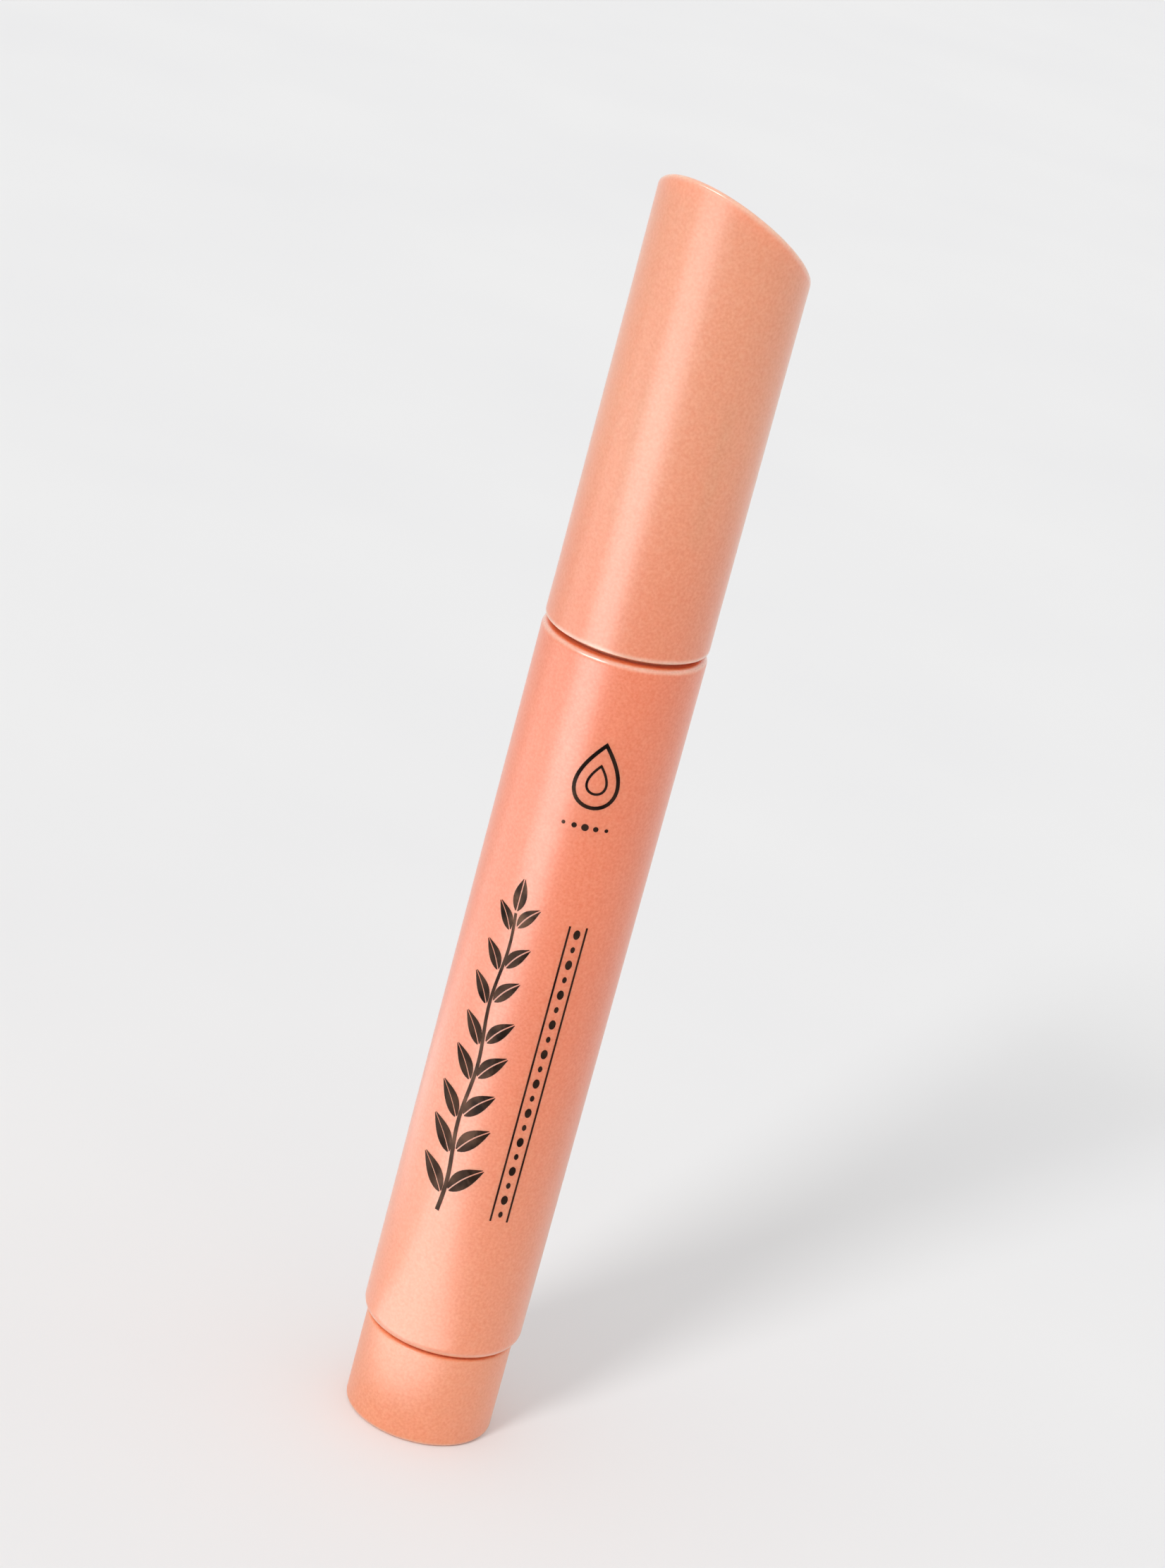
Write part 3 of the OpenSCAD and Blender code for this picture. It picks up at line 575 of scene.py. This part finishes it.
def foil_sprig():
    """A stem with pairs of plain leaves up the barrel."""
    points, faces = [], []
    rows = range(SPRIG_ROWS + 1)
    height = SPRIG_Z1 - SPRIG_Z0
    sway = [SPRIG_SWAY * math.sin(math.pi * i / SPRIG_SWAY_ROWS) for i in rows]
    stem = [(SPRIG_S + sway[i], SPRIG_Z0 + height * i / SPRIG_ROWS) for i in rows]
    stroke(points, faces, stem, [STEM_W - STEM_THINNING * i / SPRIG_ROWS for i in rows])
    for k in range(LEAF_PAIRS):
        t = (k + LEAF_PLACE) / LEAF_PAIRS
        s, z = stem[round(SPRIG_ROWS * t)]
        size = 1 - LEAF_SHRINK * t
        for hand in (-1, 1):
            turn = hand * math.radians(LEAF_TURN - LEAF_CLOSING * t)
            foot_s, foot_z = s + LEAF_GAP * hand, z + LEAF_STAGGER * hand
            leaf(points, faces, foot_s, foot_z, LEAF_LEN * size, LEAF_W * size, turn)
    leaf(points, faces, stem[-1][0], SPRIG_Z1 + TIP_LEAF_GAP, TIP_LEAF_LEN, TIP_LEAF_W, 0)
    return mesh_piece("foil_sprig", points, faces)


def foil_rules():
    """Two fine lines with a row of beads between them."""
    points, faces = [], []
    height = RULES_Z1 - RULES_Z0
    for s in (RULES_S - RULES_HALF, RULES_S + RULES_HALF):
        line = [(s, RULES_Z0 + height * i / RULES_ROWS) for i in range(RULES_ROWS + 1)]
        stroke(points, faces, line, RULE_W)
    for i in range(BEADS):
        size = BEAD_SIZES[i % 2]
        dot(points, faces, RULES_S, RULES_Z0 + height * (i + 0.5) / BEADS, size, size * BEAD_STRETCH)
    return mesh_piece("foil_rules", points, faces)


# Materials

CORAL = (0.83, 0.185, 0.058)
# The cap's and knob's coral: the barrel's plastic painted paler, as painted light on the cap's hollow
# top and on the knob low by the floor.
PAINTED_LIGHT_CORAL = (0.86, 0.28, 0.128)
# Painted light: the barrel's coral made paler towards its foot, as if lit by the floor.
FLOOR_LIT_CORAL = (0.86, 0.26, 0.11)
# Painted shade: the cap's coral made deeper towards its mouth.
MOUTH_SHADED_CORAL = (0.84, 0.22, 0.085)
# The pale edge colour: partly real wear, partly a painted highlight along the rounds.
WEAR_AND_HIGHLIGHT = (0.93, 0.55, 0.42)
PEARL = (1.0, 1.0, 0.8)
NATURAL = (0.8, 0.8, 0.76)
ACETAL = (0.76, 0.76, 0.75)

# Satin patches are this much rougher or smoother than the rest.
SATIN_SPREAD = 0.04

# An edge is worn and carries a painted highlight by a share between these two, in patches. The wear and
# painted highlight start at the first of the two depths under the outline and are full at the second, so
# that they keep out of the gaps.
WEAR_AND_HIGHLIGHT_SHARES = (0.5, 0.75)
WEAR_AND_HIGHLIGHT_DEPTHS = (0.45, 0.15)
RUBBED_ROUGH = 0.12

# Light enters glowing plastic to this depth, its red further than its green and blue.
GLOW_DEPTH = 2.2
GLOW_REACH = (1.0, 0.45, 0.25)

# Most of a noise's values lie between these two.
NOISE_LOW = 0.3
NOISE_HIGH = 0.7

UP, DOWN = (0, 0, 1), (0, 0, -1)

# Each worn edge's direction, its place along it, the depth where the wear and painted highlight are
# full, the depth where they have gone, and the outline's radius.
BARREL_EDGES = (
    (UP, BARREL_Z1, 0.2, 0.6, BARREL_R),
    (DOWN, -BARREL_Z0, 0.3, 1, BARREL_R),
)
CAP_EDGES = (
    (DOWN, -CAP_Z0, 0.2, 0.6, CAP_R),
    (tuple(slant_normal()), slant_point(0, 0, 0).dot(slant_normal()), 0.2, 0.7, CAP_TOP_R),
)
KNOB_EDGES = ((DOWN, 0, 0.1, 0.5, KNOB_R),)

# The drifts paint light and shade: the barrel paler towards its foot, the cap deeper towards its mouth.
# Each drift's other colour, the height where it is pure and the height where it has gone.
BARREL_FLOOR_LIGHT = (FLOOR_LIT_CORAL, 12, 45)
CAP_MOUTH_SHADE = (MOUTH_SHADED_CORAL, CAP_Z0, CAP_Z0 + 22)


def new_material(name):
    """A new material, with its node tree and its principled shader."""
    material = bpy.data.materials.new(name)
    material.use_nodes = True
    tree = material.node_tree
    return material, tree, tree.nodes["Principled BSDF"]


def set_inputs(made, **values):
    """Sets a node's inputs by name, with _ for a space, and gives the node back."""
    for key, value in values.items():
        made.inputs[key.replace("_", " ")].default_value = value
    return made


def node(tree, kind, **values):
    """A new node with some of its inputs set."""
    return set_inputs(tree.nodes.new(kind), **values)


def place_on(tree):
    """The place on the piece in metres, which at rest is the place in the CAD model's frame."""
    return node(tree, "ShaderNodeTexCoord").outputs["Object"]


def noise(tree, size, detail=2, z_scale=1):
    """Noise with blotches of that size in millimetres, drawn out along the pen by a z_scale under 1."""
    mapping = node(tree, "ShaderNodeMapping", Scale=(1, 1, z_scale))
    made = node(tree, "ShaderNodeTexNoise", Scale=1 / (size * MM), Detail=detail)
    tree.links.new(place_on(tree), mapping.inputs["Vector"])
    tree.links.new(mapping.outputs["Vector"], made.inputs["Vector"])
    return made.outputs["Fac"]


def ramp(tree, source, low, high):
    """A noise's value as a colour between two."""
    made = tree.nodes.new("ShaderNodeValToRGB")
    for element, position, colour in zip(made.color_ramp.elements, (NOISE_LOW, NOISE_HIGH), (low, high)):
        element.position = position
        element.color = (*colour, 1)
    tree.links.new(source, made.inputs["Fac"])
    return made.outputs["Color"]


def spread(tree, source, low, high):
    """A noise's value as a number between two."""
    made = node(tree, "ShaderNodeMapRange", From_Min=NOISE_LOW, From_Max=NOISE_HIGH)
    set_inputs(made, To_Min=low, To_Max=high)
    tree.links.new(source, made.inputs["Value"])
    return made.outputs["Result"]


def bump(tree, shader, source, height, under=None):
    """A bump of that height in millimetres on the shader, over another bump if one is given."""
    made = node(tree, "ShaderNodeBump", Distance=height * MM)
    tree.links.new(source, made.inputs["Height"])
    if under:
        tree.links.new(under, made.inputs["Normal"])
    tree.links.new(made.outputs["Normal"], shader.inputs["Normal"])
    return made.outputs["Normal"]


def paint(tree, shader, colour, rough):
    """Gives the shader a colour and a roughness that nodes work out."""
    tree.links.new(colour, shader.inputs["Base Color"])
    tree.links.new(rough, shader.inputs["Roughness"])


def feed(tree, socket, value):
    """Links a socket to what a node works out, or sets it to a number, vector or colour."""
    if isinstance(value, bpy.types.NodeSocket):
        tree.links.new(value, socket)
    else:
        socket.default_value = (*value, 1) if socket.type == "RGBA" else value


def blend(tree, kind, factor, first, second):
    """The first colour or number turning into the second as the factor goes from 0 to 1."""
    made = tree.nodes.new("ShaderNodeMix")
    made.data_type = kind
    for key, value in (("Factor", factor), ("A", first), ("B", second)):
        feed(tree, made.inputs[key], value)
    return made.outputs["Result"]


def joined(tree, operation, first, *others):
    """The values taken together, one after another, by a math operation."""
    total = first
    for other in others:
        made = tree.nodes.new("ShaderNodeMath")
        made.operation = operation
        tree.links.new(total, made.inputs[0])
        tree.links.new(other, made.inputs[1])
        total = made.outputs["Value"]
    return total


def vector_step(tree, operation, *values):
    """What a vector operation makes of values that are fixed or come from nodes."""
    made = tree.nodes.new("ShaderNodeVectorMath")
    made.operation = operation
    for socket, value in zip(made.inputs, values):
        feed(tree, socket, value)
    return made.outputs["Value" if operation in ("DOT_PRODUCT", "LENGTH") else "Vector"]


def rise(tree, value, start, end):
    """0 to 1 as a distance in metres goes from one place to another, given in millimetres."""
    made = node(tree, "ShaderNodeMapRange", From_Min=start * MM, From_Max=end * MM)
    made.interpolation_type = "SMOOTHSTEP"
    tree.links.new(value, made.inputs["Value"])
    return made.outputs["Result"]


def along_factor(tree, direction, start, end):
    """0 to 1 between two places along a direction."""
    return rise(tree, vector_step(tree, "DOT_PRODUCT", place_on(tree), direction), start, end)


def outer_factor(tree, radius):
    """0 to 1 as the surface comes out to that distance from the pen's axis."""
    across = vector_step(tree, "MULTIPLY", place_on(tree), (1, 1, 0))
    start, end = (radius - depth for depth in WEAR_AND_HIGHLIGHT_DEPTHS)
    return rise(tree, vector_step(tree, "LENGTH", across), start, end)


def mixed_tone(colour, share):
    """The colour made lighter or darker by a share."""
    return tuple(min(1, c * (1 + share)) for c in colour)


def moulded(
    name,
    colour,
    rough,
    tone=0.03,
    fleck=0.006,
    grain=0.003,
    shine=0.5,
    coat=0,
    coat_rough=0.3,
    glow=0,
    drift=(),
    edges=(),
):
    """Moulded plastic: a flow mottle, satin patches, worn edges with a painted highlight, flecks and a
    fine grain.

    tone is how far the mottle strays from the colour, as a share, and fleck how much of PEARL the
    flecks add or take. grain is the grain's height, and glow the share of light that enters."""
    material, tree, shader = new_material(name)
    flow = noise(tree, size=6, detail=3, z_scale=0.35)
    tint = ramp(tree, flow, mixed_tone(colour, -tone), mixed_tone(colour, tone))
    # The drift paints light and shade along the pen: the barrel paler towards its foot, the cap deeper
    # towards its mouth.
    if drift:
        other, start, end = drift
        tint = blend(tree, "RGBA", along_factor(tree, UP, start, end), other, tint)
    satin = spread(tree, noise(tree, size=1.6, detail=4), rough - SATIN_SPREAD, rough + SATIN_SPREAD)
    for direction, place, full, gone, radius in edges:
        near = along_factor(tree, direction, place - gone, place - full)
        wear_and_highlight_patches = spread(tree, noise(tree, size=1.5), *WEAR_AND_HIGHLIGHT_SHARES)
        wear_and_highlight = joined(tree, "MULTIPLY", near, outer_factor(tree, radius), wear_and_highlight_patches)
        # The pale edge colour is partly wear and partly a painted highlight on the rounds.
        tint = blend(tree, "RGBA", wear_and_highlight, tint, WEAR_AND_HIGHLIGHT)
        satin = blend(tree, "FLOAT", wear_and_highlight, satin, RUBBED_ROUGH)
    flecks = spread(tree, noise(tree, size=0.25), -fleck, fleck)
    paint(tree, shader, vector_step(tree, "MULTIPLY_ADD", flecks, PEARL, tint), satin)
    waves = bump(tree, shader, noise(tree, size=4.5, detail=1, z_scale=0.3), height=0.012)
    bump(tree, shader, noise(tree, size=0.16), height=grain, under=waves)
    set_inputs(shader, IOR=1.5, Specular_IOR_Level=shine)
    set_inputs(shader, Coat_Weight=coat, Coat_IOR=1.6, Coat_Roughness=coat_rough)
    if glow:
        set_inputs(shader, Subsurface_Weight=glow, Subsurface_Radius=GLOW_REACH)
        set_inputs(shader, Subsurface_Scale=GLOW_DEPTH * MM)
    return material


def coral_plastic(name, colour, rough, coat, coat_rough, edges, drift=()):
    """The outer shells' coral plastic: moulded, with pearl flecks and a clear coat."""
    return moulded(
        name,
        colour,
        rough,
        fleck=0.04,
        grain=0.006,
        shine=0.8,
        coat=coat,
        coat_rough=coat_rough,
        glow=0.5,
        drift=drift,
        edges=edges,
    )


def barrel_coral(name):
    """The barrel's coral, with painted light that pales it towards the foot, and worn at both ends with
    a painted highlight.
    """
    return coral_plastic(
        name, CORAL, rough=0.52, coat=1, coat_rough=0.3, edges=BARREL_EDGES, drift=BARREL_FLOOR_LIGHT
    )


def cap_coral(name):
    """The cap's coral, painted paler as painted light, with painted shade deepening it towards the
    mouth, and worn at the mouth and the rim with a painted highlight.
    """
    return coral_plastic(
        name, PAINTED_LIGHT_CORAL, rough=0.52, coat=1, coat_rough=0.28, edges=CAP_EDGES, drift=CAP_MOUTH_SHADE
    )


def knob_coral(name):
    """The knob's coral, painted paler as painted light, a little duller, and worn round the foot with a
    painted highlight.
    """
    return coral_plastic(name, PAINTED_LIGHT_CORAL, rough=0.5, coat=0.8, coat_rough=0.4, edges=KNOB_EDGES)


def clear_plastic(name):
    """Clear plastic with faint drawn lines along it."""
    material, tree, shader = new_material(name)
    lines = noise(tree, size=0.5, z_scale=0.05)
    tint = ramp(tree, lines, (0.86, 0.89, 0.9), (0.95, 0.96, 0.96))
    paint(tree, shader, tint, spread(tree, lines, 0.07, 0.16))
    bump(tree, shader, lines, height=0.004)
    set_inputs(shader, IOR=1.49, Transmission_Weight=0.85)
    return material


def nylon_fibre(name):
    """Pale nylon fibres: each one a little lighter or darker, with a soft sheen."""
    material, tree, shader = new_material(name)
    strands = noise(tree, size=0.22, z_scale=0.06)
    tint = ramp(tree, strands, (0.78, 0.74, 0.64), (0.95, 0.93, 0.87))
    paint(tree, shader, tint, spread(tree, strands, 0.3, 0.42))
    set_inputs(shader, Sheen_Weight=0.2, Subsurface_Weight=0.2)
    set_inputs(shader, Subsurface_Radius=(1.0, 0.9, 0.7), Subsurface_Scale=0.3 * MM)
    return material


def soft_rubber(name):
    """Dark matte rubber with a dusty bloom and a fine grain."""
    material, tree, shader = new_material(name)
    bloom = noise(tree, size=1.2, detail=4)
    tint = ramp(tree, bloom, (0.028, 0.028, 0.032), (0.05, 0.05, 0.055))
    paint(tree, shader, tint, spread(tree, bloom, 0.55, 0.75))
    bump(tree, shader, noise(tree, size=0.12, detail=3), height=0.01)
    return material


def pressed_foil(name):
    """Dark hot-stamped foil: mirror-like, with slight waves, pits and a warm and cool drift."""
    material, tree, shader = new_material(name)
    tint = ramp(tree, noise(tree, size=2.2), (0.01, 0.007, 0.006), (0.052, 0.029, 0.02))
    wear = noise(tree, size=0.35, detail=4)
    paint(tree, shader, tint, spread(tree, wear, 0.1, 0.24))
    waves = bump(tree, shader, noise(tree, size=1.1), height=0.035)
    bump(tree, shader, wear, height=0.003, under=waves)
    set_inputs(shader, Metallic=1)
    return material


# The finishes are named after the record's material slots, and the cap and the knob have their own.
materials = {
    "coral_shell": barrel_coral("coral_barrel"),
    "coral_cap": cap_coral("coral_cap"),
    "coral_knob": knob_coral("coral_knob"),
    "natural_plastic": moulded("natural_plastic", NATURAL, 0.34, tone=0.02, glow=0.3),
    "acetal": moulded("white_acetal", ACETAL, 0.38, tone=0.02, grain=0.004),
    "clear_plastic": clear_plastic("clear_plastic_tube"),
    "bristle": nylon_fibre("nylon_fibre"),
    "seal_rubber": soft_rubber("seal_rubber_black"),
    "foil": pressed_foil("pressed_foil"),
}


# The pen


def dress(piece, body, slot, finish, *nodes):
    """The piece rides on its body, takes its finish, and stands for the CAD nodes named."""
    piece.data.materials.append(materials[finish])
    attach(piece, body)
    if nodes:
        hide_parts(*nodes)


def build_pen():
    """The pieces made here, over the CAD nodes that keep their own shape."""
    # Each shell's name, outline, body, finish and CAD node, and what stands inside it.
    shells = (
        ("barrel_shell", barrel_column, "barrel_body", "coral_shell", "barrel", ()),
        ("knob_cup", knob_column, "knob_body", "coral_knob", "knob", ()),
        ("neck_plug", neck_column, "barrel_body", "coral_shell", "neck", ()),
        ("cap_cover", cap_column, "cap_body", "coral_cap", "cap_shell", cap_ribs()),
    )
    for name, column, body, finish, node_name, extra in shells:
        dress(turned(name, column, extra=extra), body, "coral_shell", finish, node_name)
    dress(bristle_tuft(), "barrel_body", "bristle", "bristle", "bristles")
    for motif in (foil_emblem(), foil_sprig(), foil_rules()):
        dress(motif, "barrel_body", "foil", "foil")


def finish_nodes():
    """Every CAD node that still shows gets the finish of its material slot."""
    slots = {part["node"]: part["material_slot"] for part in frame["record"]["subparts"]}
    for name, part in frame["nodes"].items():
        for place in part.material_slots:
            place.material = materials[slots[name]]


# Floor, light and camera

FLOOR_REACH = 4000
FLOOR_TONES = ((0.865, 0.865, 0.87), (0.885, 0.885, 0.885))

WORLD_LIGHT = 0.75
WORLD_SEEN = 0.87

# Each lamp's azimuth, elevation, strength, softness, and whether it lights matte surfaces.
# Azimuth 0 is the camera's side, and the left is below zero.
LAMPS = {
    "key_lamp": (-30, 35, 1.2, 12, True),
    "glint_lamp": (-50, 30, 0.6, 3, False),
}

# Each panel's azimuth, its near and far ends, its width and its brightness.
PANELS = {
    "low_panel_near": (-35, 12, 130, 40, 2.4),
    "low_panel_middle": (-35, 130, 260, 125, 4.2),
    "low_panel_far": (-35, 260, 560, 270, 3.3),
    "low_panel_left": (-82, 40, 400, 140, 1.1),
}
PANEL_Z = 2

# The camera was fitted to the pen's outline and seams in the photograph. Its angles are in radians.
CAMERA_PLACE = (-0.3, -367.53, 205.55)
CAMERA_DOWN = 0.3652
CAMERA_ROLL = 0.2636
CAMERA_LENS = 101.53
CAMERA_SENSOR = 36
CAMERA_NEAR = 10
CAMERA_FAR = 20000


def build_floor():
    """A plain pale floor, which keeps the pen's shadow."""
    corners = [Vector((x, y, 0)) * FLOOR_REACH for x, y in ((-1, -1), (1, -1), (1, 1), (-1, 1))]
    floor = mesh_piece("floor", corners, [(0, 1, 2, 3)], smooth=False)
    material, tree, shader = new_material("pale_floor")
    tree.links.new(ramp(tree, noise(tree, size=60), *FLOOR_TONES), shader.inputs["Base Color"])
    set_inputs(shader, Roughness=0.8, Specular_IOR_Level=0.2)
    floor.data.materials.append(material)


def build_world():
    """Even light from all round, and a pale background for rays that see it."""
    world = bpy.data.worlds.new("studio")
    bpy.context.scene.world = world
    world.use_nodes = True
    tree = world.node_tree
    light = set_inputs(tree.nodes["Background"], Color=(1, 1, 1, 1), Strength=WORLD_LIGHT)
    seen = node(tree, "ShaderNodeBackground", Color=(WORLD_SEEN, WORLD_SEEN, WORLD_SEEN, 1), Strength=1)
    path = tree.nodes.new("ShaderNodeLightPath")
    rays = [path.outputs[f"Is {kind} Ray"] for kind in ("Camera", "Glossy", "Transmission")]
    mix = tree.nodes.new("ShaderNodeMixShader")
    tree.links.new(joined(tree, "MAXIMUM", *rays), mix.inputs["Fac"])
    tree.links.new(light.outputs["Background"], mix.inputs[1])
    tree.links.new(seen.outputs["Background"], mix.inputs[2])
    tree.links.new(mix.outputs["Shader"], tree.nodes["World Output"].inputs["Surface"])


def far_lamp(name, azimuth, elevation, strength, softness, matte):
    """A distant lamp, as soft as a disc of that many degrees."""
    light = bpy.data.lights.new(name, "SUN")
    light.energy = strength
    light.angle = math.radians(softness)
    lamp = in_scene(name, light)
    a, e = math.radians(azimuth), math.radians(elevation)
    toward = Vector((math.sin(a) * math.cos(e), -math.cos(a) * math.cos(e), math.sin(e)))
    lamp.rotation_euler = toward.to_track_quat("Z", "Y").to_euler()
    lamp.visible_diffuse = matte


def low_panel(name, azimuth, near, far, width, brightness):
    """A glowing strip that faces up from the floor, and that only reflections show."""
    light = bpy.data.lights.new(name, "AREA")
    light.shape = "RECTANGLE"
    light.size, light.size_y = width * MM, (far - near) * MM
    light.energy = brightness * math.pi * light.size * light.size_y
    lamp = in_scene(name, light)
    a, middle = math.radians(azimuth), (near + far) / 2
    lamp.location = Vector((math.sin(a) * middle, -math.cos(a) * middle, PANEL_Z)) * MM
    lamp.rotation_euler = (math.pi, 0, a)
    lamp.visible_camera = False
    lamp.visible_diffuse = False


def build_camera():
    """The photograph's viewpoint: above the pen, rolled, looking a little down."""
    data = bpy.data.cameras.new("camera")
    data.lens = CAMERA_LENS
    data.sensor_width = CAMERA_SENSOR
    data.clip_start, data.clip_end = CAMERA_NEAR * MM, CAMERA_FAR * MM
    camera = in_scene("camera", data)
    camera.location = Vector(CAMERA_PLACE) * MM
    tilt = Matrix.Rotation(math.pi / 2 - CAMERA_DOWN, 3, "X")
    camera.rotation_euler = (tilt @ Matrix.Rotation(CAMERA_ROLL, 3, "Z")).to_euler()
    bpy.context.scene.camera = camera


build_camera()
build_world()
build_floor()
for name, settings in LAMPS.items():
    far_lamp(name, *settings)
for name, settings in PANELS.items():
    low_panel(name, *settings)
build_pen()
finish_nodes()
bpy.context.scene.view_settings.view_transform = "Standard"
